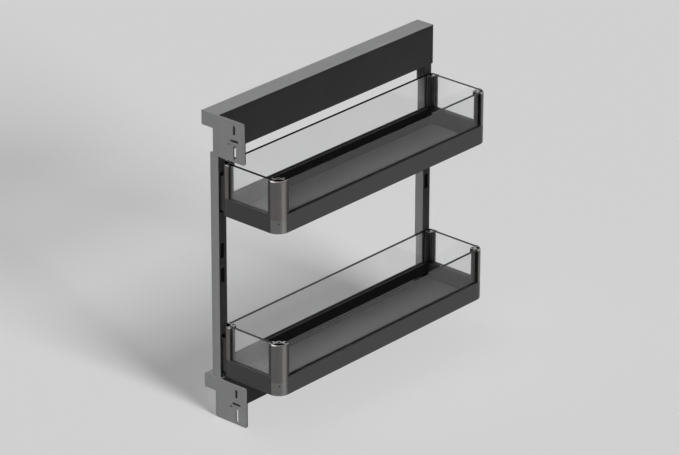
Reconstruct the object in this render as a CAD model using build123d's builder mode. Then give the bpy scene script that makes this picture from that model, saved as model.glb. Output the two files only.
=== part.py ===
from build123d import *
import os
from math import sqrt

os.makedirs("parts", exist_ok=True)

# Frame, in mm. X = 0 is the cabinet's side, Y = 0 the back of the door, Z = 0 the lowest edge.
frame_height = 490.0
frame_depth = 480.0
rail_width = 32.5
rail_height = 63.2
rail_wall = 1.6
rail_top_wall = 2.0
rail_edge_radius = 1.2
rail_off_cabinet = 0.7
lip_height = 22.5
web_wall = 1.4
web_set_back = 12.0
web_below_slide = 2.0

# Door brackets
bracket_thickness = 2.0
bracket_below_rail = 1.5
bracket_left = 22.9
bracket_right = 86.2
bracket_corner_radius = 4.0
bracket_inner_radius = 1.0
tongue_side_gap = 0.8
tongue_length = 20.0
tongue_thickness = 1.6
height_slot_x = 65.2
height_slot_above_edge = 49.9
height_slot_length = 14.5
side_slot_x = 65.5
side_slot_above_edge = 32.4
side_slot_length = 16.5
door_slot_width = 4.6
long_slot_x = 66.3
long_slot_above_edge = 14.4
long_slot_length = 21.5
pin_hole_x = 53.5
pin_hole_above_edge = 26.3
pin_hole_diameter = 3.0

# Uprights and the cast connectors that join them to the rails
upright_side = 16.0
upright_wall = 1.5
upright_left = 14.4
upright_behind_door = 3.1
upright_from_rear = 0.0
slot_height = 24.0
slot_width = 8.0
slot_from_upright_front = 7.0
slot_pitch = 39.8
spare_slot_drop = 114.0
pip_width = 6.0
pip_height = 3.0
pip_depth = 1.0
pip_below_slot = 21.0
connector_plug_length = 30.0
connector_off_claw = 0.4
connector_arm_left = 18.7
connector_arm_depth = 13.0
connector_arm_length = 36.0

# Ball-bearing slides
slide_thickness = 12.7
slide_height = 35.0
slide_below_lip = 3.0
slide_front = 26.0
slide_from_rear = 8.0
member_wall = 1.5
outer_reach = 10.9
middle_reach = 10.6
middle_web_left = 2.9
inner_flange_left = 5.8
ball_diameter = 3.0
groove_depth = 0.4
groove_clearance = 0.2
outer_ball_x = 5.5
inner_ball_x = 8.3
cage_wall = 0.6
cage_strip = 1.4
outer_cage_reach = 8.5
inner_cage_reach = 10.5
cage_web_gap = 0.4
cage_front = 140.0
cage_length = 220.0
ball_count = 8
ball_hole_clearance = 0.02
stop_tab_depth = 0.6
stop_tab_length = 3.5
stop_tab_height = 8.0
stop_tab_inset = 2.0
buffer_thickness = 5.0
buffer_gap = 0.4
buffer_width = 8.0
buffer_height = 24.0
cabinet_hole_diameter = 4.5
cabinet_hole_first = 37.0
cabinet_hole_pitch = 128.0
cabinet_hole_end_margin = 20.0
runner_screw_diameter = 4.0
runner_screw_head = 7.0
runner_screw_head_height = 2.2
runner_screw_tip = 0.7
runner_screw_first = 60.0
runner_screw_pitch = 110.0
runner_screw_end_margin = 30.0

# Baskets
basket_front = 4.8
basket_width = 117.3
basket_from_rear = 2.8
basket_above_rail = 4.4
basket_below_rail = 13.3
tray_height = 29.0
glass_height_above_tray = 53.4
tray_wall = 11.8
tray_sheet = 1.5
tray_lip = 1.3
groove_floor_drop = 9.0
left_inner_radius = 2.2
right_inner_radius = 8.2
glass_thickness = 5.0
gasket_floor = 2.2
gasket_rise = 0.3
mat_thickness = 1.5
mat_clearance = 0.5

# Corner posts
post_leg = 23.0
seated_post_leg = 18.0
post_round = 17.0
post_recess = 1.6
post_slot_depth = 5.0
post_slot_clearance = 0.3
post_top_round = 1.6
post_rim = 1.9
post_back_wall = 2.6
post_end_wall = 1.3
post_pocket_depth = 8.0
boss_radius = 4.2
boss_hole_diameter = 4.4
boss_offset = 0.5
foot_height = 21.0
foot_hole_diameter = 2.4
foot_hole_depth = 2.0
foot_hole_below_top = 5.0
post_screw_diameter = 4.0
post_screw_head = 7.0
post_screw_head_height = 2.4
post_screw_length = 22.0
foot_screw_recess = 8.0

# Hooks that hang a basket on the uprights
hook_first_slot = 14.0
hook_neck_height = 6.7
hook_claw_width = 6.0
hook_claw_thickness = 2.0
hook_claw_drop = 5.5
hook_plate_width = 7.0
hook_plate_depth = 8.0
hook_plate_margin = 8.0
running_gap = 0.3

bracket_height = rail_height + bracket_below_rail
rail_tops = {"lower": bracket_height, "upper": frame_height}
rail_front = bracket_thickness
rail_length = frame_depth - rail_front
slide_length = frame_depth - slide_from_rear - slide_front
cabinet_hole_span = slide_length - cabinet_hole_first - cabinet_hole_end_margin
cabinet_hole_count = 1 + int(cabinet_hole_span // cabinet_hole_pitch)
runner_screw_span = slide_length - runner_screw_first - runner_screw_end_margin
runner_screw_count = 1 + int(runner_screw_span // runner_screw_pitch)
rail_right = rail_off_cabinet + rail_width
web_left = slide_thickness
tongue_left = rail_off_cabinet + rail_wall + tongue_side_gap
tongue_width = web_left - tongue_side_gap - tongue_left
ball_radius = ball_diameter / 2
upright_right = upright_left + upright_side
claw_right = upright_right - upright_wall - running_gap
claw_left = claw_right - hook_claw_thickness
connector_plug_width = claw_left - connector_off_claw - upright_left - upright_wall
upright_fronts = {
    "front": upright_behind_door,
    "rear": frame_depth - upright_from_rear - upright_side,
}
upright_bottom = bracket_height
upright_top = frame_height - rail_height
basket_height = tray_height + glass_height_above_tray
basket_bottoms = {
    "lower": bracket_height + basket_above_rail,
    "upper": upright_top - basket_below_rail - basket_height,
}
basket_left = upright_right + running_gap
basket_right = basket_left + basket_width
basket_rear = frame_depth - basket_from_rear
basket_length = basket_rear - basket_front
left_corner_radius = tray_wall + left_inner_radius
right_corner_radius = tray_wall + right_inner_radius
glass_inset = (tray_wall - glass_thickness) / 2

# Half heights of the nested slide members, from the cabinet side inwards
outer_inside = slide_height / 2 - member_wall
outer_ball_z = outer_inside + groove_depth - ball_radius
middle_outside = outer_ball_z - ball_radius + groove_depth
middle_inside = middle_outside - member_wall
inner_ball_z = middle_inside + groove_depth - ball_radius
inner_outside = inner_ball_z - ball_radius + groove_depth
inner_inside = inner_outside - member_wall
outer_cage_web = member_wall + cage_web_gap
inner_cage_web = middle_web_left + member_wall + cage_web_gap

LOW = (Align.MIN, Align.MIN)


def save(builder, name):
    """Label a finished piece and write it."""
    builder.part.label = name
    export_step(builder.part, f"parts/{name}.step")


def cross_section(y):
    """Plane facing the door at depth y, with X across and Z up."""
    return Plane.XZ.offset(-y)


def slide_centre(level):
    return rail_tops[level] - lip_height - slide_below_lip - slide_height / 2


def slot_centres():
    """Heights of the hook slots: a pair behind each basket and a spare pair between them."""
    upper = basket_bottoms["upper"]
    bases = [basket_bottoms["lower"], upper - spare_slot_drop, upper]
    return [base + hook_first_slot + k * slot_pitch for base in bases for k in range(2)]


def runner_screw_places(level):
    first = slide_front + runner_screw_first
    return [(first + k * runner_screw_pitch, slide_centre(level)) for k in range(runner_screw_count)]


def cabinet_hole_places(level):
    first = slide_front + cabinet_hole_first
    return [(first + k * cabinet_hole_pitch, slide_centre(level)) for k in range(cabinet_hole_count)]


def rail_housing(level):
    """Extruded channel: top, right wall, short left lip and the web that carries the slide."""
    top = rail_tops[level]
    web_height = top - slide_centre(level) + slide_height / 2 + web_below_slide
    with BuildPart() as housing:
        with BuildSketch(cross_section(rail_front)):
            with Locations((rail_off_cabinet, top - rail_top_wall)):
                Rectangle(rail_width, rail_top_wall, align=LOW)
            with Locations((rail_off_cabinet, top - lip_height)):
                Rectangle(rail_wall, lip_height, align=LOW)
            with Locations((rail_right - rail_wall, top - rail_height)):
                Rectangle(rail_wall, rail_height, align=LOW)
        extrude(amount=-rail_length)
        with BuildSketch(cross_section(rail_front + web_set_back)):
            with Locations((web_left, top - web_height)):
                Rectangle(web_wall, web_height, align=LOW)
        extrude(amount=web_set_back - rail_length)
        top_left_edge = housing.edges().filter_by(Axis.Y).group_by(Axis.Z)[-1].sort_by(Axis.X)[0]
        fillet(top_left_edge, rail_edge_radius)
        with BuildSketch(Plane.YZ.offset(web_left)):
            with Locations(*runner_screw_places(level)):
                Circle(runner_screw_diameter / 2)
        extrude(amount=web_wall, mode=Mode.SUBTRACT)
        if level == "lower":
            with BuildSketch(Plane.XY.offset(top - rail_top_wall)):
                for front in upright_fronts.values():
                    with Locations((upright_left + upright_wall, front + upright_wall)):
                        Rectangle(connector_plug_width, upright_side - 2 * upright_wall, align=LOW)
            extrude(amount=rail_top_wall, mode=Mode.SUBTRACT)
    save(housing, f"rail_housing_{level}")


def door_bracket(level):
    """Sheet bracket that closes the rail's front end and takes the door's screws."""
    top = rail_tops[level]
    bottom = top - bracket_height
    with BuildPart() as bracket:
        with BuildSketch(cross_section(0)) as face:
            with Locations((bracket_left, bottom)):
                Rectangle(bracket_right - bracket_left, bracket_height, align=LOW)
            with Locations((rail_off_cabinet, top - lip_height)):
                Rectangle(bracket_left - rail_off_cabinet, lip_height, align=LOW)
            right_corners = face.vertices().group_by(Axis.X)[-1]
            low_left_corner = face.vertices().group_by(Axis.Y)[0].sort_by(Axis.X)[0]
            fillet([*right_corners, low_left_corner], bracket_corner_radius)
            inner_corner = face.vertices().filter_by_position(
                Axis.X, bracket_left, bracket_left
            ).filter_by_position(Axis.Y, top - lip_height, top - lip_height)
            fillet(inner_corner, bracket_inner_radius)
            with Locations((height_slot_x, bottom + height_slot_above_edge)):
                SlotOverall(height_slot_length, door_slot_width, rotation=90, mode=Mode.SUBTRACT)
            with Locations((side_slot_x, bottom + side_slot_above_edge)):
                SlotOverall(side_slot_length, door_slot_width, mode=Mode.SUBTRACT)
            with Locations((long_slot_x, bottom + long_slot_above_edge)):
                SlotOverall(long_slot_length, door_slot_width, rotation=90, mode=Mode.SUBTRACT)
            with Locations((pin_hole_x, bottom + pin_hole_above_edge)):
                Circle(pin_hole_diameter / 2, mode=Mode.SUBTRACT)
        extrude(amount=-bracket_thickness)
        with BuildSketch(cross_section(bracket_thickness)):
            with Locations((tongue_left, top - rail_top_wall - tongue_thickness)):
                Rectangle(tongue_width, tongue_thickness, align=LOW)
        extrude(amount=-tongue_length)
    save(bracket, f"door_bracket_{level}")


def upright(end):
    """Square tube with hook slots on its right face and a small stop pip under each spare slot."""
    front = upright_fronts[end]
    slot_y = front + slot_from_upright_front
    spare_slots = slot_centres()[2:4]
    with BuildPart() as tube:
        with BuildSketch(Plane.XY.offset(upright_bottom)):
            with Locations((upright_left, front)):
                Rectangle(upright_side, upright_side, align=LOW)
            with Locations((upright_left + upright_wall, front + upright_wall)):
                inside = upright_side - 2 * upright_wall
                Rectangle(inside, inside, align=LOW, mode=Mode.SUBTRACT)
        extrude(amount=upright_top - upright_bottom)
        with BuildSketch(Plane.YZ.offset(upright_right)):
            with Locations(*[(slot_y, z) for z in slot_centres()]):
                Rectangle(slot_width, slot_height)
        extrude(amount=-upright_wall, mode=Mode.SUBTRACT)
        with BuildSketch(Plane.YZ.offset(upright_right)):
            with Locations(*[(slot_y, z - pip_below_slot) for z in spare_slots]):
                Rectangle(pip_width, pip_height)
        extrude(amount=pip_depth)
    save(tube, f"upright_{end}")


def connectors(where):
    """Cast corner pieces: a plug inside each upright and an arm against the rail's right wall."""
    with BuildPart() as cast:
        for front in upright_fronts.values():
            inside_front = front + upright_wall
            arm_right = rail_right - rail_wall
            if where == "top":
                plug_bottom = upright_top - connector_plug_length
                plug_top = upright_top
                arm_bottom = upright_top
            else:
                plug_bottom = upright_bottom - rail_top_wall
                plug_top = upright_bottom + connector_plug_length
                arm_bottom = plug_bottom - connector_arm_length
            with BuildSketch(Plane.XY.offset(plug_bottom)):
                with Locations((upright_left + upright_wall, inside_front)):
                    Rectangle(connector_plug_width, upright_side - 2 * upright_wall, align=LOW)
            extrude(amount=plug_top - plug_bottom)
            with BuildSketch(Plane.XY.offset(arm_bottom)):
                with Locations((connector_arm_left, inside_front)):
                    Rectangle(arm_right - connector_arm_left, connector_arm_depth, align=LOW)
            extrude(amount=connector_arm_length)
    save(cast, f"upright_connectors_{where}")


def channel(level, web, web_wall_side, half_outside, flange_left, flange_right):
    """C-shaped slide section: a web and two flanges, as one sketch, seen from the door."""
    centre = slide_centre(level)
    flange_width = flange_right - flange_left
    with BuildSketch(cross_section(slide_front)) as section:
        with Locations((web, centre - half_outside)):
            Rectangle(web_wall_side, 2 * half_outside, align=LOW)
        for edge in (centre + half_outside - member_wall, centre - half_outside):
            with Locations((flange_left, edge)):
                Rectangle(flange_width, member_wall, align=LOW)
    return section.sketch


def raceway(level, x, z):
    """Two round grooves in which a row of balls runs."""
    centre = slide_centre(level)
    with BuildSketch(cross_section(slide_front)) as grooves:
        with Locations((x, centre + z), (x, centre - z)):
            Circle(ball_radius + groove_clearance)
    return grooves.sketch


def stop_tab(level, x, y):
    """Small pressed tab on a slide member's web, from x inwards."""
    with BuildSketch(cross_section(y)) as tab:
        with Locations((x, slide_centre(level))):
            Rectangle(stop_tab_depth, stop_tab_height, align=(Align.MIN, Align.CENTER))
    return tab.sketch


def outer_member(level):
    """The member screwed to the cabinet's side wall."""
    with BuildPart() as member:
        extrude(channel(level, 0, member_wall, slide_height / 2, 0, outer_reach), amount=-slide_length)
        extrude(raceway(level, outer_ball_x, outer_ball_z), amount=-slide_length, mode=Mode.SUBTRACT)
        extrude(stop_tab(level, member_wall, slide_front + stop_tab_inset), amount=-stop_tab_length)
        tail = buffer_gap + buffer_thickness
        with BuildSketch(cross_section(slide_front + slide_length)):
            with Locations((0, slide_centre(level))):
                Rectangle(member_wall, slide_height, align=(Align.MIN, Align.CENTER))
        extrude(amount=-tail)
        with BuildSketch(Plane.YZ):
            with Locations(*cabinet_hole_places(level)):
                Circle(cabinet_hole_diameter / 2)
        extrude(amount=member_wall, mode=Mode.SUBTRACT)
    save(member, f"slide_outer_{level}")


def middle_member(level):
    """The member between the cabinet's and the frame's, which moves half as far as the frame."""
    web = middle_web_left
    rear_tab = slide_front + slide_length - stop_tab_length
    with BuildPart() as member:
        extrude(channel(level, web, member_wall, middle_outside, web, middle_reach), amount=-slide_length)
        for x, z in ((outer_ball_x, outer_ball_z), (inner_ball_x, inner_ball_z)):
            extrude(raceway(level, x, z), amount=-slide_length, mode=Mode.SUBTRACT)
        extrude(stop_tab(level, web - stop_tab_depth, rear_tab), amount=-stop_tab_length)
        front_tab = slide_front + stop_tab_inset
        extrude(stop_tab(level, web + member_wall, front_tab), amount=-stop_tab_length)
    save(member, f"slide_middle_{level}")


def inner_member(level):
    """The member screwed to the rail's web."""
    web = slide_thickness - member_wall
    rear_plate = slide_front + slide_length - stop_tab_length
    plate_left = inner_cage_web + cage_web_gap
    with BuildPart() as member:
        section = channel(level, web, member_wall, inner_outside, inner_flange_left, slide_thickness)
        extrude(section, amount=-slide_length)
        extrude(raceway(level, inner_ball_x, inner_ball_z), amount=-slide_length, mode=Mode.SUBTRACT)
        with BuildSketch(cross_section(rear_plate)):
            with Locations((plate_left, slide_centre(level))):
                Rectangle(web - plate_left, 2 * inner_inside, align=(Align.MIN, Align.CENTER))
        extrude(amount=-stop_tab_length)
        with BuildSketch(Plane.YZ.offset(web)):
            with Locations(*runner_screw_places(level)):
                Circle(runner_screw_diameter / 2)
        extrude(amount=member_wall, mode=Mode.SUBTRACT)
    save(member, f"slide_inner_{level}")


def ball_places(level, x, z):
    centre = slide_centre(level)
    pitch = cage_length / ball_count
    rows = [cage_front + (k + 0.5) * pitch for k in range(ball_count)]
    return [(x, y, centre + side * z) for y in rows for side in (-1, 1)]


def ball_cage(kind, level, web, reach, x, z):
    """U-shaped strip cage with two rows of round holes, and the balls that sit in them."""
    centre = slide_centre(level)
    half = z + cage_strip / 2
    with BuildPart() as cage:
        with BuildSketch(cross_section(cage_front)):
            with Locations((web, centre - half)):
                Rectangle(cage_wall, 2 * half, align=LOW)
            for edge in (centre + half - cage_strip, centre - half):
                with Locations((web, edge)):
                    Rectangle(reach - web, cage_strip, align=LOW)
        extrude(amount=-cage_length)
        with BuildSketch(Plane.XY.offset(centre - half)):
            upper_row = [(bx, by) for bx, by, bz in ball_places(level, x, z) if bz > centre]
            with Locations(*upper_row):
                Circle(ball_radius + ball_hole_clearance)
        extrude(amount=2 * half, mode=Mode.SUBTRACT)
    save(cage, f"{kind}_ball_cage_{level}")
    with BuildPart() as balls:
        with Locations(*ball_places(level, x, z)):
            Sphere(ball_radius)
    save(balls, f"{kind}_balls_{level}")


def rear_buffers():
    """Rubber pads at the back of the two cabinet members, where the middle members stop."""
    with BuildPart() as pads:
        for level in rail_tops:
            with BuildSketch(cross_section(slide_front + slide_length + buffer_gap)):
                with Locations((member_wall, slide_centre(level))):
                    Rectangle(buffer_width, buffer_height, align=(Align.MIN, Align.CENTER))
            extrude(amount=-buffer_thickness)
    save(pads, "rear_buffers")


def runner_screws():
    """Pan-head screws that hold the two inner slide members on the rails' webs."""
    with BuildPart() as screws:
        for level in rail_tops:
            tip = slide_thickness - member_wall - runner_screw_tip
            head_face = web_left + web_wall
            with BuildSketch(Plane.YZ.offset(tip)):
                with Locations(*runner_screw_places(level)):
                    Circle(runner_screw_diameter / 2)
            extrude(amount=head_face - tip)
            with BuildSketch(Plane.YZ.offset(head_face)):
                with Locations(*runner_screw_places(level)):
                    Circle(runner_screw_head / 2)
            extrude(amount=runner_screw_head_height)
    save(screws, "runner_screws")


def basket_outline(inset, height=0.0):
    """Plan of a basket, moved inwards by inset, with its smaller left and larger right corners."""
    with BuildSketch(Plane.XY.offset(height)) as outline:
        with Locations((basket_left + inset, basket_front + inset)):
            Rectangle(basket_width - 2 * inset, basket_length - 2 * inset, align=LOW)
        fillet(outline.vertices().group_by(Axis.X)[0], left_corner_radius - inset)
        fillet(outline.vertices().group_by(Axis.X)[-1], right_corner_radius - inset)
    return outline.sketch


def wall_ring(outer_inset, inner_inset, height):
    """Plan of a band that follows the basket's wall."""
    with BuildSketch(Plane.XY.offset(height)) as ring:
        add(basket_outline(outer_inset))
        add(basket_outline(inner_inset), mode=Mode.SUBTRACT)
    return ring.sketch


def corner_signs(corner):
    """Directions from a corner towards the middle of the basket."""
    along_x = 1 if corner.endswith("left") else -1
    along_y = 1 if corner.startswith("front") else -1
    return along_x, along_y


def corner_point(corner, u, v):
    """Point u inwards along X and v inwards along Y from a basket's outer corner."""
    along_x, along_y = corner_signs(corner)
    start_x = basket_left if along_x > 0 else basket_right
    start_y = basket_front if along_y > 0 else basket_rear
    return start_x + along_x * u, start_y + along_y * v


def corner_radius(corner):
    return left_corner_radius if corner.endswith("left") else right_corner_radius


def corner_patch(corner, u_span, v_span):
    """Rectangle given by its spans inwards from a corner, for the sketch that asks for it."""
    u_middle = sum(u_span) / 2
    v_middle = sum(v_span) / 2
    x, y = corner_point(corner, u_middle, v_middle)
    with BuildSketch() as patch:
        with Locations((x, y)):
            Rectangle(u_span[1] - u_span[0], v_span[1] - v_span[0])
    return patch.sketch


def leg_at(corner):
    """Length of a post's legs. The three that stand on the tray are shorter."""
    return seated_post_leg if corner in seated_corners else post_leg


def post_plan(corner, outer_inset, inner_inset, leg):
    """Plan of a corner piece: a band of the basket's wall where it rounds the corner."""
    with BuildSketch() as plan:
        add(wall_ring(outer_inset, inner_inset, 0))
        add(corner_patch(corner, (0, leg), (0, leg)), mode=Mode.INTERSECT)
    return plan.sketch


def screw_place(corner):
    """Centre of the screw that holds a post, in the middle of the wall at 45 degrees."""
    radius = corner_radius(corner)
    offset = radius - (radius - tray_wall / 2) / sqrt(2)
    return corner_point(corner, offset, offset)


def boss_place(corner):
    """Centre of the hollow boss inside a post's corner."""
    radius = corner_radius(corner)
    offset = radius - (radius - tray_wall) / sqrt(2) + boss_offset
    return corner_point(corner, offset, offset)


def tray(level):
    """Pressed tray: hollow walls open below, a groove on top for the panes, and a floor."""
    bottom = basket_bottoms[level]
    top = bottom + tray_height
    groove_floor = top - groove_floor_drop
    groove_inner = tray_wall - tray_lip
    hollow_inner = tray_wall - tray_sheet
    with BuildPart() as shell:
        extrude(basket_outline(0, bottom), amount=tray_height)
        extrude(
            basket_outline(tray_wall, bottom + tray_sheet),
            amount=tray_height - tray_sheet,
            mode=Mode.SUBTRACT,
        )
        extrude(
            wall_ring(tray_lip, groove_inner, groove_floor),
            amount=groove_floor_drop,
            mode=Mode.SUBTRACT,
        )
        extrude(
            wall_ring(tray_sheet, hollow_inner, bottom),
            amount=groove_floor - tray_sheet - bottom,
            mode=Mode.SUBTRACT,
        )
        with BuildSketch(Plane.XY.offset(bottom)):
            add(post_plan("front_right", 0, tray_wall, post_round))
        extrude(amount=tray_height, mode=Mode.SUBTRACT)
        with BuildSketch(Plane.XY.offset(bottom)):
            with Locations(*[screw_place(c) for c in seated_corners]):
                Circle(post_screw_diameter / 2)
        extrude(amount=tray_height, mode=Mode.SUBTRACT)
    save(shell, f"tray_{level}")


def mat(level):
    """Loose rubber liner on the tray's floor."""
    floor = basket_bottoms[level] + tray_sheet
    with BuildPart() as liner:
        extrude(basket_outline(tray_wall + mat_clearance, floor), amount=mat_thickness)
    save(liner, f"tray_mat_{level}")


def glazing_span(side):
    """Start, end and fixed coordinate of a pane's centre line on one side of a basket."""
    middle = tray_wall / 2
    if side in ("front", "rear"):
        fixed = basket_front + middle if side == "front" else basket_rear - middle
        return basket_left, basket_right, fixed
    fixed = basket_left + middle if side == "left" else basket_right - middle
    return basket_front, basket_rear, fixed


def wall_strip(side, shortening, width, height):
    """Plan of a strip in the middle of one wall, from leg to leg less a shortening of the legs."""
    start, end, fixed = glazing_span(side)
    start_corner, end_corner = wall_corners[side]
    start += leg_at(start_corner) - shortening
    end -= leg_at(end_corner) - shortening
    length = end - start
    centre = (start + end) / 2
    along_x = side in ("front", "rear")
    with BuildSketch(Plane.XY.offset(height)) as strip:
        with Locations((centre, fixed) if along_x else (fixed, centre)):
            Rectangle(length if along_x else width, width if along_x else length)
    return strip.sketch


def glazing(level):
    """Four panes, and the rubber channels that hold them in the tray's groove."""
    tray_top = basket_bottoms[level] + tray_height
    groove_floor = tray_top - groove_floor_drop
    pane_bottom = groove_floor + gasket_floor
    pane_height = tray_top + glass_height_above_tray - pane_bottom
    pane_in_slot = post_slot_depth - post_slot_clearance
    groove_width = tray_wall - 2 * tray_lip
    gasket_height = groove_floor_drop + gasket_rise
    for side in ("front", "rear", "left", "right"):
        with BuildPart() as pane:
            extrude(wall_strip(side, pane_in_slot, glass_thickness, pane_bottom), amount=pane_height)
        save(pane, f"glass_{side}_{level}")
    with BuildPart() as gasket:
        for side in ("front", "rear", "left", "right"):
            extrude(wall_strip(side, 0, groove_width, groove_floor), amount=gasket_height)
        groove = wall_ring(tray_lip, tray_wall - tray_lip, groove_floor)
        extrude(groove, amount=gasket_height, mode=Mode.INTERSECT)
        for side in ("front", "rear", "left", "right"):
            extrude(
                wall_strip(side, pane_in_slot, glass_thickness, pane_bottom),
                amount=pane_height,
                mode=Mode.SUBTRACT,
            )
    save(gasket, f"glazing_gasket_{level}")


def post_slots(corner, height):
    """Plan of the two slots in a post's legs that take the ends of the panes."""
    along = (leg_at(corner) - post_slot_depth, leg_at(corner))
    across = (glass_inset, tray_wall - glass_inset)
    with BuildSketch(Plane.XY.offset(height)) as slots:
        add(corner_patch(corner, along, across))
        add(corner_patch(corner, across, along))
    return slots.sketch


def post_recesses(corner, height):
    """Plan of the set-back outer faces of a post's two legs."""
    along = (post_round, post_leg)
    across = (0, post_recess)
    with BuildSketch(Plane.XY.offset(height)) as recesses:
        add(corner_patch(corner, along, across))
        add(corner_patch(corner, across, along))
    return recesses.sketch


def post_pocket(corner, height):
    """Plan of the hollow in a post's top end, inside its rim."""
    reach = min(leg_at(corner) - post_slot_depth, post_round) - post_end_wall
    with BuildSketch(Plane.XY.offset(height)) as pocket:
        add(post_plan(corner, post_rim, tray_wall - post_back_wall, reach))
    return pocket.sketch


def corner_post(corner, level):
    """Rounded corner extrusion. The front right one runs down past the tray to its foot."""
    bottom = basket_bottoms[level]
    tray_top = bottom + tray_height
    top = tray_top + glass_height_above_tray
    groove_floor = tray_top - groove_floor_drop
    full_height = corner not in seated_corners
    body_bottom = bottom + foot_height if full_height else tray_top
    bore_bottom = body_bottom if full_height else groove_floor
    tongue_bottom = max(groove_floor, body_bottom) if full_height else groove_floor
    leg = leg_at(corner)
    pocket_floor = top - post_pocket_depth
    with BuildPart() as post:
        with BuildSketch(Plane.XY.offset(tray_top)):
            add(post_plan(corner, 0, tray_wall, leg))
            with Locations(boss_place(corner)):
                Circle(boss_radius)
        extrude(amount=glass_height_above_tray)
        top_arcs = post.faces().sort_by(Axis.Z)[-1].edges().filter_by(GeomType.CIRCLE)
        fillet(top_arcs.sort_by(lambda arc: arc.radius)[-1], post_top_round)
        if full_height:
            extrude(
                post_recesses(corner, tray_top),
                amount=glass_height_above_tray,
                mode=Mode.SUBTRACT,
            )
        with BuildSketch(Plane.XY.offset(tongue_bottom)):
            add(post_plan(corner, tray_lip, tray_wall - tray_lip, leg))
        extrude(amount=tray_top - tongue_bottom)
        if full_height:
            with BuildSketch(Plane.XY.offset(body_bottom)):
                add(post_plan(corner, 0, tray_wall, post_round))
            extrude(amount=tray_top - body_bottom)
        extrude(post_slots(corner, groove_floor), amount=top - groove_floor, mode=Mode.SUBTRACT)
        extrude(post_pocket(corner, pocket_floor), amount=post_pocket_depth, mode=Mode.SUBTRACT)
        with BuildSketch(Plane.XY.offset(tray_top)):
            with Locations(boss_place(corner)):
                Circle(boss_hole_diameter / 2)
        extrude(amount=glass_height_above_tray, mode=Mode.SUBTRACT)
        with BuildSketch(Plane.XY.offset(bore_bottom)):
            with Locations(screw_place(corner)):
                Circle(post_screw_diameter / 2)
        extrude(amount=post_screw_length, mode=Mode.SUBTRACT)
    save(post, f"post_{corner}_{level}")


def foot_cap(level):
    """Cast foot under the full-height post, with its set-screw hole in the rounded face."""
    corner = "front_right"
    bottom = basket_bottoms[level]
    head_top = foot_screw_recess + post_screw_head_height
    radius = corner_radius(corner)
    round_centre = corner_point(corner, radius, radius)
    along_x, along_y = corner_signs(corner)
    outwards = Vector(-along_x, -along_y, 0)
    hole_height = bottom + foot_height - foot_hole_below_top
    reach = (radius - foot_hole_depth) / sqrt(2)
    hole_start = (round_centre[0] - along_x * reach, round_centre[1] - along_y * reach, hole_height)
    with BuildPart() as foot:
        with BuildSketch(Plane.XY.offset(bottom)):
            add(post_plan(corner, 0, tray_wall, post_round))
        extrude(amount=foot_height)
        with BuildSketch(Plane.XY.offset(bottom)):
            with Locations(screw_place(corner)):
                Circle(post_screw_diameter / 2)
        extrude(amount=foot_height, mode=Mode.SUBTRACT)
        with BuildSketch(Plane.XY.offset(bottom)):
            with Locations(screw_place(corner)):
                Circle(post_screw_head / 2)
        extrude(amount=head_top, mode=Mode.SUBTRACT)
        with BuildSketch(Plane(origin=hole_start, z_dir=outwards)):
            Circle(foot_hole_diameter / 2)
        extrude(amount=2 * foot_hole_depth, mode=Mode.SUBTRACT)
    save(foot, f"post_foot_{level}")


def post_screws(level):
    """Screws that come up through the tray or the foot into the four posts."""
    bottom = basket_bottoms[level]
    groove_web = bottom + tray_height - groove_floor_drop - tray_sheet
    foot_head_top = bottom + foot_screw_recess + post_screw_head_height
    with BuildPart() as screws:
        for corner in corners:
            seat = groove_web if corner in seated_corners else foot_head_top
            with BuildSketch(Plane.XY.offset(seat)):
                with Locations(screw_place(corner)):
                    Circle(post_screw_diameter / 2)
            extrude(amount=post_screw_length)
            with BuildSketch(Plane.XY.offset(seat)):
                with Locations(screw_place(corner)):
                    Circle(post_screw_head / 2)
            extrude(amount=-post_screw_head_height)
    save(screws, f"post_screws_{level}")


def hooks(level):
    """A plate on each left corner, with two claws that drop behind the upright's slots."""
    bottom = basket_bottoms[level]
    plate_bottom = bottom + hook_first_slot - hook_plate_margin
    plate_height = slot_pitch + 2 * hook_plate_margin
    with BuildPart() as plates:
        for front in upright_fronts.values():
            slot_y = front + slot_from_upright_front
            with BuildSketch(Plane.XY.offset(plate_bottom)):
                with Locations((basket_left + hook_plate_depth / 2, slot_y)):
                    Rectangle(hook_plate_depth, hook_plate_width)
                add(basket_outline(0), mode=Mode.SUBTRACT)
            extrude(amount=plate_height)
            for k in range(2):
                slot_bottom = bottom + hook_first_slot + k * slot_pitch - slot_height / 2
                neck_bottom = slot_bottom + running_gap
                with BuildSketch(Plane.XY.offset(neck_bottom)):
                    with Locations((claw_left, slot_y)):
                        Rectangle(
                            basket_left - claw_left, hook_claw_width, align=(Align.MIN, Align.CENTER)
                        )
                extrude(amount=hook_neck_height)
                with BuildSketch(Plane.XY.offset(neck_bottom - hook_claw_drop)):
                    with Locations((claw_left, slot_y)):
                        Rectangle(
                            hook_claw_thickness, hook_claw_width, align=(Align.MIN, Align.CENTER)
                        )
                extrude(amount=hook_claw_drop)
    save(plates, f"basket_hooks_{level}")


corners = ("front_left", "rear_left", "rear_right", "front_right")
seated_corners = corners[:3]
wall_corners = {
    "front": ("front_left", "front_right"),
    "rear": ("rear_left", "rear_right"),
    "left": ("front_left", "rear_left"),
    "right": ("front_right", "rear_right"),
}

for level in rail_tops:
    rail_housing(level)
    door_bracket(level)
    outer_member(level)
    middle_member(level)
    inner_member(level)
    ball_cage("outer", level, outer_cage_web, outer_cage_reach, outer_ball_x, outer_ball_z)
    ball_cage("inner", level, inner_cage_web, inner_cage_reach, inner_ball_x, inner_ball_z)
    tray(level)
    mat(level)
    glazing(level)
    for corner in corners:
        corner_post(corner, level)
    foot_cap(level)
    post_screws(level)
    hooks(level)
for end in upright_fronts:
    upright(end)
for where in ("top", "bottom"):
    connectors(where)
rear_buffers()
runner_screws()
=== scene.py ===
"""Looks of the pull-out spice rack: finishes, stage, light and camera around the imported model."""

import math

import bpy
from mathutils import Matrix, Vector


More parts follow.
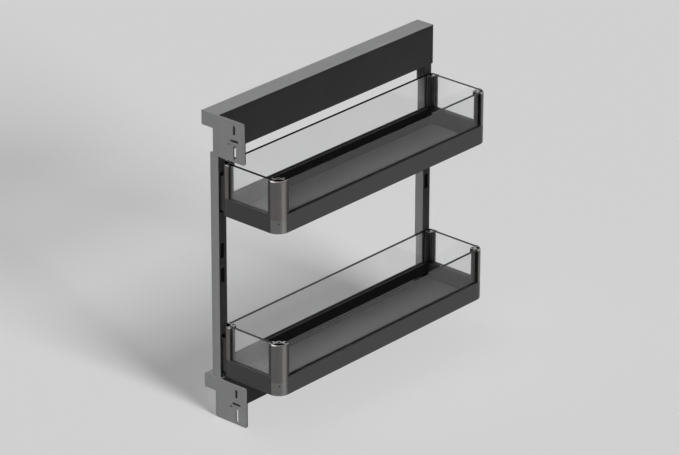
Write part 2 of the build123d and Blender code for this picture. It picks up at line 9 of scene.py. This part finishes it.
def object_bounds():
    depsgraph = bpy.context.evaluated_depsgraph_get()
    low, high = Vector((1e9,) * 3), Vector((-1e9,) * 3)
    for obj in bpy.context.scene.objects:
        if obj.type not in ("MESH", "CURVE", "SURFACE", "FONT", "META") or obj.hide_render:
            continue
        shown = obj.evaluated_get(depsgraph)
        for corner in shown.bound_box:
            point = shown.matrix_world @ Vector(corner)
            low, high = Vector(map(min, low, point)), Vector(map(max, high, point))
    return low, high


MM = 0.001

# Camera, in metres and degrees: a long lens from the front right, above the rack
camera_place = Vector((3.63388, -3.79710, 2.69678))
camera_heading = 41.549
camera_pitch = 24.503
camera_roll = 0.168
camera_lens_mm = 208.57
sensor_width_mm = 36.0

# Stage
black = (0.0, 0.0, 0.0, 1.0)
white = (1.0, 1.0, 1.0, 1.0)
stage_half_size = 12.0
stage_gap_below_rack = 0.4 * MM
stage_shown_colour = (0.504, 0.504, 0.504, 1.0)
stage_glow = (0.266, 0.266, 0.266, 1.0)
stage_lighting_colour = (0.10, 0.10, 0.10, 1.0)
sky_shown_colour = (0.645, 0.645, 0.645, 1.0)
sky_lighting_colour = (0.10, 0.10, 0.10, 1.0)

# Round corners of the baskets
left_corner_radius = 14.0 * MM
right_corner_radius = 20.0 * MM
basket_middle_y = 240.0 * MM

# Colours of the finishes, with painted shade and painted highlights among them
frame_grey = (0.150, 0.151, 0.153)
tray_black = (0.012, 0.012, 0.0125)
# Painted shade for the inside of the trays' left wall
inner_wall_painted_shade = (0.003, 0.003, 0.003, 1.0)
post_brown_grey = (0.140, 0.132, 0.126)
# Painted shade for the posts' recesses and insides, and a painted highlight for their tops
post_recess_painted_shade = (0.066, 0.064, 0.063, 1.0)
post_top_painted_highlight = (0.45, 0.44, 0.43, 1.0)
foot_grey = (0.18, 0.18, 0.178)
zinc_grey = (0.60, 0.61, 0.63)
ball_greys = ((0.74, 0.74, 0.75, 1.0), (0.84, 0.84, 0.86, 1.0))
cast_greys = ((0.40, 0.40, 0.41, 1.0), (0.52, 0.52, 0.53, 1.0))
seal_black = (0.008, 0.008, 0.008)
mat_grey = (0.063, 0.063, 0.065)
glass_tint = (0.997, 1.0, 1.0)
# Painted shade on the panes' top edges: their colour and their lowered shine
glass_edge_painted_shade = (0.002, 0.002, 0.002, 1.0)
glass_edge_dimmed_shine = (0.35, 0.35, 0.35, 1.0)
glass_shadow_tint = (0.80, 0.81, 0.805, 1.0)

# Shine of the trays: on the outside, and on the inside of the left wall, where it is lowered as part of
# a painted shade
tray_shine = 0.37
inner_wall_shaded_shine = 0.05

# The brushed skin of a post, measured inwards from its round face; further in, its recesses and inside
# get painted shade
post_skin_full = 0.9 * MM
post_skin_gone = 1.2 * MM

# Panes: how grey they are, how clear, and how strongly they mirror. They are one glass: the lower
# clearness of the front and rear panes makes a pale haze that is a painted reflection, and the long
# panes mirror less
front_pane = (0.868, 0.955, 1.0)
rear_pane = (0.940, 0.955, 1.0)
long_panes = (0.922, 0.992, 0.60)

# Lamps: azimuth and elevation towards them and width, in degrees, and strength
front_lamp = (-20.0, 42.0, 45.0, 1.45)
rear_lamp = (-150.0, 8.0, 50.0, 0.50)
right_lamp = (82.0, 18.5, 22.0, 1.95)
corner_lamp = (90.0, -24.0, 15.0, 0.10)

# Edges of sheet metal and extrusions
edge_radius = 0.4 * MM
edge_angle = math.radians(35)
flat_angle = math.radians(0.5)
weld_distance = 0.002 * MM


def add_node(tree, kind, **values):
    """A shader node with its sockets, named by their labels, set to values or linked."""
    made = tree.nodes.new(kind)
    for label, value in values.items():
        put(made, label.replace("_", " "), value)
    return made


def put(shader_node, label, value):
    socket = shader_node.inputs[label]
    if isinstance(value, bpy.types.NodeSocket):
        shader_node.id_data.links.new(value, socket)
    else:
        socket.default_value = value


def start_material(name):
    """A new material, its node tree and its principled shader."""
    material = bpy.data.materials.new(name)
    material.use_nodes = True
    tree = material.node_tree
    return material, tree, tree.nodes["Principled BSDF"]


def object_place(tree, stretch=(1.0, 1.0, 1.0)):
    """Places in metres on the piece, stretched along each axis."""
    place = tree.nodes.new("ShaderNodeTexCoord").outputs["Object"]
    mapping = add_node(tree, "ShaderNodeMapping", Vector=place, Scale=stretch)
    return mapping.outputs["Vector"]


def noise(tree, place, size, detail=2.0, roughness=0.5):
    """Smooth noise whose features are about size metres across."""
    made = add_node(
        tree,
        "ShaderNodeTexNoise",
        Vector=place,
        Scale=1.0 / size,
        Detail=detail,
        Roughness=roughness,
    )
    return made.outputs["Fac"]


def spread(tree, value, low, high, start=0.0, end=1.0):
    """value between start and end, mapped to low and high."""
    made = tree.nodes.new("ShaderNodeMapRange")
    put(made, "Value", value)
    put(made, "From Min", start)
    put(made, "From Max", end)
    put(made, "To Min", low)
    put(made, "To Max", high)
    return made.outputs["Result"]


def blend_colours(tree, share, first, second):
    made = tree.nodes.new("ShaderNodeMix")
    made.data_type = "RGBA"
    put(made, 0, share)
    put(made, 6, first)
    put(made, 7, second)
    return made.outputs[2]


def scaled(colour, factor):
    return (colour[0] * factor, colour[1] * factor, colour[2] * factor, 1.0)


def calculate(tree, operation, first, second):
    made = tree.nodes.new("ShaderNodeMath")
    made.operation = operation
    put(made, 0, first)
    put(made, 1, second)
    return made.outputs[0]


def upward(tree):
    """How far a surface faces up: 1 on tops, 0 on sides, -1 below."""
    normal = tree.nodes.new("ShaderNodeNewGeometry").outputs["Normal"]
    return add_node(tree, "ShaderNodeSeparateXYZ", Vector=normal).outputs["Z"]


def edge_mask(tree, radius):
    """1 along a piece's edges, 0 on its faces."""
    rounded = add_node(tree, "ShaderNodeBevel", Radius=radius).outputs["Normal"]
    plain = tree.nodes.new("ShaderNodeNewGeometry").outputs["Normal"]
    likeness = tree.nodes.new("ShaderNodeVectorMath")
    likeness.operation = "DOT_PRODUCT"
    put(likeness, 0, rounded)
    put(likeness, 1, plain)
    return spread(tree, likeness.outputs["Value"], 1.0, 0.0, start=0.80, end=0.98)


def bump(tree, shader, height, depth):
    made = add_node(tree, "ShaderNodeBump", Height=height, Distance=depth, Strength=1.0)
    put(shader, "Normal", made.outputs["Normal"])


def corner_distance(tree, corner, centre):
    """How far a place lies from a post's arc centre, counted only towards the basket's corner."""
    place = add_node(tree, "ShaderNodeSeparateXYZ", Vector=object_place(tree))
    shares = []
    for axis in (0, 1):
        outwards = 1.0 if corner[axis] > centre[axis] else -1.0
        offset = calculate(tree, "SUBTRACT", place.outputs[axis], centre[axis])
        offset = calculate(tree, "MAXIMUM", calculate(tree, "MULTIPLY", offset, outwards), 0.0)
        shares.append(calculate(tree, "POWER", offset, 2.0))
    return calculate(tree, "SQRT", calculate(tree, "ADD", shares[0], shares[1]), 0.0)


def piece_box(piece):
    """Lowest and highest corner of a piece, in its own places."""
    points = [Vector(point) for point in piece.bound_box]
    low = Vector([min(point[axis] for point in points) for axis in range(3)])
    high = Vector([max(point[axis] for point in points) for axis in range(3)])
    return low, high


def paint(name, colour, roughness, specular, grain_depth):
    """Powder coat: soft blotches, fine scuffs, a grain and lighter edges, partly wear and partly a
    painted highlight.
    """
    material, tree, shader = start_material(name)
    place = object_place(tree)
    blotches = noise(tree, place, 60 * MM, detail=3.0)
    grain = noise(tree, place, 0.7 * MM, detail=1.0)
    scuffs = noise(tree, object_place(tree, (1.0, 0.12, 1.0)), 5 * MM, detail=4.0, roughness=0.7)
    body = blend_colours(tree, blotches, scaled(colour, 0.92), scaled(colour, 1.08))
    # Lighter edges: partly wear from use, partly a painted highlight
    rubbed_and_highlit = calculate(tree, "MULTIPLY", edge_mask(tree, 0.6 * MM), scuffs)
    body = blend_colours(tree, rubbed_and_highlit, body, scaled(colour, 1.9))
    put(shader, "Base Color", body)
    scuffed = spread(tree, scuffs, roughness - 0.05, roughness + 0.07, start=0.3, end=0.7)
    put(shader, "Roughness", scuffed)
    put(shader, "Specular IOR Level", specular)
    bump(tree, shader, grain, grain_depth)
    return material


def frame_paint():
    return paint("frame_paint", frame_grey, 0.60, 0.12, 0.012 * MM)


def tray_paint(tray):
    """Black powder coat, with painted shade on the inside of the left wall: darker and less shiny
    there.
    """
    material = paint("tray_paint", tray_black, 0.36, tray_shine, 0.008 * MM)
    tree = material.node_tree
    low, high = piece_box(tray)
    middle = (low.x + high.x) / 2
    across = add_node(tree, "ShaderNodeSeparateXYZ", Vector=object_place(tree)).outputs["X"]
    normal = tree.nodes.new("ShaderNodeNewGeometry").outputs["Normal"]
    rightward = add_node(tree, "ShaderNodeSeparateXYZ", Vector=normal).outputs["X"]
    faces_right = spread(tree, rightward, 0.0, 1.0, start=0.5, end=0.8)
    on_left = spread(tree, across, 1.0, 0.0, start=middle - 5 * MM, end=middle)
    # Painted shade: the inside of the left wall, which faces right, is darkened and loses most of its
    # shine
    inside = calculate(tree, "MULTIPLY", faces_right, on_left)
    shader = tree.nodes["Principled BSDF"]
    body = shader.inputs["Base Color"].links[0].from_socket
    put(shader, "Base Color", blend_colours(tree, inside, body, inner_wall_painted_shade))
    put(shader, "Specular IOR Level", spread(tree, inside, tray_shine, inner_wall_shaded_shine))
    return material


def brushed(name, colour, roughness, stretch, streak, contrast):
    """Metal brushed along one axis: fine streaks in its colour, roughness and height."""
    material, tree, shader = start_material(name)
    lines = noise(tree, object_place(tree, stretch), streak, detail=3.0, roughness=0.6)
    blotches = noise(tree, object_place(tree), 25 * MM, detail=2.0)
    mixed = calculate(tree, "ADD", lines, calculate(tree, "MULTIPLY", blotches, 0.5))
    body = blend_colours(
        tree,
        spread(tree, mixed, 0.0, 1.0, start=0.5, end=1.0),
        scaled(colour, 1.0 - contrast),
        scaled(colour, 1.0 + contrast),
    )
    put(shader, "Base Color", body)
    put(shader, "Metallic", 1.0)
    rough = spread(tree, lines, roughness - 0.06, roughness + 0.08, start=0.3, end=0.7)
    put(shader, "Roughness", rough)
    bump(tree, shader, lines, 0.004 * MM)
    return material


def post_metal(piece, is_left):
    """Brushed on the round outer face, with a painted highlight on top and painted shade on the
    recesses and the inside.
    """
    low, high = piece_box(piece)
    radius = left_corner_radius if is_left else right_corner_radius
    is_front = low.y < basket_middle_y
    corner = (low.x if is_left else high.x, low.y if is_front else high.y)
    inwards = (radius if is_left else -radius, radius if is_front else -radius)
    centre = (corner[0] + inwards[0], corner[1] + inwards[1])
    along_post = (1.0, 1.0, 0.03)
    material = brushed("post_metal", post_brown_grey, 0.30, along_post, 0.5 * MM, 0.07)
    tree = material.node_tree
    shader = tree.nodes["Principled BSDF"]
    reach = corner_distance(tree, corner, centre)
    skin = (radius - post_skin_gone, radius - post_skin_full)
    outer = spread(tree, reach, 0.0, 1.0, start=skin[0], end=skin[1])
    body = shader.inputs["Base Color"].links[0].from_socket
    # Painted shade: away from the round face, the recesses and inner faces are dark
    sides = blend_colours(tree, outer, post_recess_painted_shade, body)
    # Painted highlight: every face that looks up is made pale
    top = spread(tree, upward(tree), 0.0, 1.0, start=0.5, end=0.9)
    put(shader, "Base Color", blend_colours(tree, top, sides, post_top_painted_highlight))
    return material


def foot_metal():
    return brushed("foot_metal", foot_grey, 0.18, (1.0, 1.0, 0.3), 6.0 * MM, 0.06)


def zinc_steel():
    return brushed("zinc_steel", zinc_grey, 0.36, (1.0, 0.05, 1.0), 1.2 * MM, 0.08)


def ball_steel():
    material, tree, shader = start_material("ball_steel")
    haze = noise(tree, object_place(tree), 1.5 * MM)
    put(shader, "Base Color", blend_colours(tree, haze, *ball_greys))
    put(shader, "Metallic", 1.0)
    put(shader, "Roughness", spread(tree, haze, 0.08, 0.18))
    return material


def cast_metal():
    material, tree, shader = start_material("cast_metal")
    skin = noise(tree, object_place(tree), 0.9 * MM, detail=3.0)
    put(shader, "Base Color", blend_colours(tree, skin, *cast_greys))
    put(shader, "Metallic", 1.0)
    put(shader, "Roughness", spread(tree, skin, 0.45, 0.62))
    bump(tree, shader, skin, 0.03 * MM)
    return material


def rubber(name, colour, grain_size, grain_depth):
    """Matt rubber with a fine leathery grain."""
    material, tree, shader = start_material(name)
    place = object_place(tree)
    grain = noise(tree, place, grain_size, detail=3.0, roughness=0.6)
    blotches = noise(tree, place, 40 * MM, detail=2.0)
    put(shader, "Base Color", blend_colours(tree, blotches, scaled(colour, 0.85), scaled(colour, 1.15)))
    put(shader, "Roughness", spread(tree, grain, 0.55, 0.75))
    put(shader, "Specular IOR Level", 0.4)
    bump(tree, shader, grain, grain_depth)
    return material


def let_lamps_through(tree, shader, tint):
    """Keeps a surface's look, but lets the lamps shine through it, tinted."""
    clear = add_node(tree, "ShaderNodeBsdfTransparent", Color=tint)
    choice = tree.nodes.new("ShaderNodeMixShader")
    put(choice, 0, tree.nodes.new("ShaderNodeLightPath").outputs["Is Shadow Ray"])
    put(choice, 1, shader.outputs["BSDF"])
    put(choice, 2, clear.outputs["BSDF"])
    put(tree.nodes["Material Output"], "Surface", choice.outputs["Shader"])


def tinted_glass(name, shade, clearness_and_painted_haze, mirror):
    """A grey pane with painted shade on its top edge faces, which are darkened and mirror less; lamps
    shine through it, so its shadow is faint.
    """
    material, tree, shader = start_material(name)
    # Painted shade on the faces that look up, the panes' top edges
    edge = spread(tree, upward(tree), 0.0, 1.0, start=0.4, end=0.8)
    smears = noise(tree, object_place(tree, (1.0, 1.0, 0.4)), 45 * MM, detail=3.0)
    darker = scaled(glass_tint, shade - 0.012)
    lighter = scaled(glass_tint, shade + 0.012)
    clear = blend_colours(tree, smears, darker, lighter)
    put(shader, "Base Color", blend_colours(tree, edge, clear, glass_edge_painted_shade))
    put(shader, "Roughness", spread(tree, smears, 0.0, 0.02, start=0.4, end=0.8))
    put(shader, "IOR", 1.45)
    # Below full clearness part of the pane turns into a pale haze: a painted reflection, with smears
    # varying it
    clouded = spread(tree, smears, clearness_and_painted_haze + 0.008, clearness_and_painted_haze - 0.008, start=0.3, end=0.7)
    put(shader, "Transmission Weight", clouded)
    face_shine = (mirror, mirror, mirror, 1.0)
    put(shader, "Specular Tint", blend_colours(tree, edge, face_shine, glass_edge_dimmed_shine))
    let_lamps_through(tree, shader, glass_shadow_tint)
    return material


def seal_rubber():
    return rubber("seal_rubber", seal_black, 0.8 * MM, 0.02 * MM)


def mat_rubber():
    return rubber("mat_rubber", mat_grey, 1.1 * MM, 0.05 * MM)


def dress(nodes):
    """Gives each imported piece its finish, by the first words of its name."""
    finishes = [
        (frame_paint(), ("rail_housing", "door_bracket", "upright_front", "upright_rear")),
        (tray_paint(nodes["tray_lower"]), ("tray_lower", "tray_upper", "basket_hooks")),
        (foot_metal(), ("post_foot",)),
        (zinc_steel(), ("slide_", "runner_screws", "post_screws")),
        (cast_metal(), ("upright_connectors", "outer_ball_cage", "inner_ball_cage")),
        (ball_steel(), ("outer_balls", "inner_balls")),
        (seal_rubber(), ("glazing_gasket", "rear_buffers")),
        (mat_rubber(), ("tray_mat",)),
        (tinted_glass("front_glass", *front_pane), ("glass_front",)),
        (tinted_glass("rear_glass", *rear_pane), ("glass_rear",)),
        (tinted_glass("long_glass", *long_panes), ("glass_left", "glass_right")),
    ]
    for name, piece in nodes.items():
        if name.startswith(("post_front", "post_rear")):
            found = [post_metal(piece, "_left" in name)]
        else:
            found = [finish for finish, starts in finishes if name.startswith(starts)]
        piece.data.materials.clear()
        piece.data.materials.append(found[0])


def soften_edges(piece):
    """Rounds a piece's sharp edges a little and evens out its shading."""
    mesh = piece.data
    mesh.polygons.foreach_set("use_smooth", [True] * len(mesh.polygons))
    weld = piece.modifiers.new("weld", "WELD")
    weld.merge_threshold = weld_distance
    faces = piece.modifiers.new("flat_faces", "DECIMATE")
    faces.decimate_type = "DISSOLVE"
    faces.angle_limit = flat_angle
    edges = piece.modifiers.new("round_edges", "BEVEL")
    edges.width = edge_radius
    edges.segments = 2
    edges.limit_method = "ANGLE"
    edges.angle_limit = edge_angle
    normals = piece.modifiers.new("even_normals", "WEIGHTED_NORMAL")
    normals.keep_sharp = True


def pale_where_seen(tree, shown, lighting):
    """One colour for the camera, mirrors and glass, and another for the light that bounces."""
    path = tree.nodes.new("ShaderNodeLightPath")
    seen = calculate(tree, "MAXIMUM", path.outputs["Is Camera Ray"], path.outputs["Is Glossy Ray"])
    seen = calculate(tree, "MAXIMUM", seen, path.outputs["Is Transmission Ray"])
    return blend_colours(tree, seen, lighting, shown)


def make_floor(lowest):
    """A wide pale floor just below the rack, open to the lamp that shines from below."""
    half = stage_half_size
    corners = [(-half, -half, 0), (half, -half, 0), (half, half, 0), (-half, half, 0)]
    mesh = bpy.data.meshes.new("floor")
    mesh.from_pydata(corners, [], [(0, 1, 2, 3)])
    floor = bpy.data.objects.new("floor", mesh)
    floor.location.z = lowest - stage_gap_below_rack
    bpy.context.scene.collection.objects.link(floor)
    material, tree, shader = start_material("stage_paper")
    colour = pale_where_seen(tree, stage_shown_colour, stage_lighting_colour)
    put(shader, "Base Color", colour)
    put(shader, "Roughness", 0.9)
    put(shader, "Specular IOR Level", 0.1)
    put(shader, "Emission Color", pale_where_seen(tree, stage_glow, black))
    put(shader, "Emission Strength", 1.0)
    let_lamps_through(tree, shader, white)
    mesh.materials.append(material)
    return floor


def make_sky():
    """The surroundings: as pale as the floor where they are seen, weaker as light."""
    world = bpy.data.worlds.new("surroundings")
    world.use_nodes = True
    tree = world.node_tree
    colour = pale_where_seen(tree, sky_shown_colour, sky_lighting_colour)
    put(tree.nodes["Background"], "Color", colour)
    bpy.context.scene.world = world


def direction(azimuth, elevation):
    """Unit vector towards a place: azimuth 0 is the front and 90 the right, in degrees."""
    turn, rise = math.radians(azimuth), math.radians(elevation)
    level = math.cos(rise)
    return Vector((math.sin(turn) * level, -math.cos(turn) * level, math.sin(rise)))


def group_of(name, things):
    group = bpy.data.collections.new(name)
    for thing in things:
        group.objects.link(thing)
    return group


def make_lamp(name, values, things):
    """A far lamp whose light falls on these things only."""
    azimuth, elevation, width, strength = values
    lamp = bpy.data.lights.new(name, "SUN")
    lamp.angle = math.radians(width)
    lamp.energy = strength * math.pi
    holder = bpy.data.objects.new(name, lamp)
    holder.rotation_euler = direction(azimuth, elevation).to_track_quat("Z", "Y").to_euler()
    bpy.context.scene.collection.objects.link(holder)
    holder.light_linking.receiver_collection = group_of(name + "_receivers", things)


def make_lamps(floor, pieces):
    """Front and rear light, low light from the right, and a weak one from below on the corners."""
    make_lamp("front_light", front_lamp, pieces)
    shiny = ("glass_", "glazing_", "post_", "tray_lower", "tray_upper")
    dull = [piece for piece in pieces if not piece.name.startswith(shiny)]
    make_lamp("rear_light", rear_lamp, dull)
    trays = [piece for piece in pieces if piece.name.startswith(("tray_lower", "tray_upper"))]
    make_lamp("right_light", right_lamp, [floor, *trays])
    corners = [piece for piece in pieces if piece.name.startswith(("post_front_right", "post_foot"))]
    make_lamp("corner_light", corner_lamp, corners)


def make_camera():
    camera = bpy.data.cameras.new("camera")
    camera.lens = camera_lens_mm
    camera.sensor_width = sensor_width_mm
    camera.sensor_fit = "HORIZONTAL"
    camera.clip_start = 0.1
    camera.clip_end = 60.0
    viewer = bpy.data.objects.new("camera", camera)
    heading = Matrix.Rotation(math.radians(camera_heading), 4, "Z")
    pitch = Matrix.Rotation(math.radians(90.0 - camera_pitch), 4, "X")
    roll = Matrix.Rotation(math.radians(camera_roll), 4, "Z")
    viewer.matrix_world = Matrix.Translation(camera_place) @ heading @ pitch @ roll
    bpy.context.scene.collection.objects.link(viewer)
    bpy.context.scene.camera = viewer


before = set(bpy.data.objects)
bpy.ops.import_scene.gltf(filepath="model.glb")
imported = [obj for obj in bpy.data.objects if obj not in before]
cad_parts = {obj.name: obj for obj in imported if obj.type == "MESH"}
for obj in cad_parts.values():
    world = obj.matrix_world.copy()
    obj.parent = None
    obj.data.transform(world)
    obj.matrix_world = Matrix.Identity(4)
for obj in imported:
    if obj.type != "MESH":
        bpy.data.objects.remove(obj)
packed_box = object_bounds()

dress(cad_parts)
crisp = ("rail_housing", "door_bracket", "upright_front", "upright_rear", "tray_lower", "tray_upper")
for node_name, node_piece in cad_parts.items():
    if node_name.startswith(crisp):
        soften_edges(node_piece)

stage_floor = make_floor(packed_box[0].z)
make_sky()
rack_pieces = list(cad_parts.values())
make_lamps(stage_floor, rack_pieces)
make_camera()
bpy.context.scene.view_settings.view_transform = "Standard"
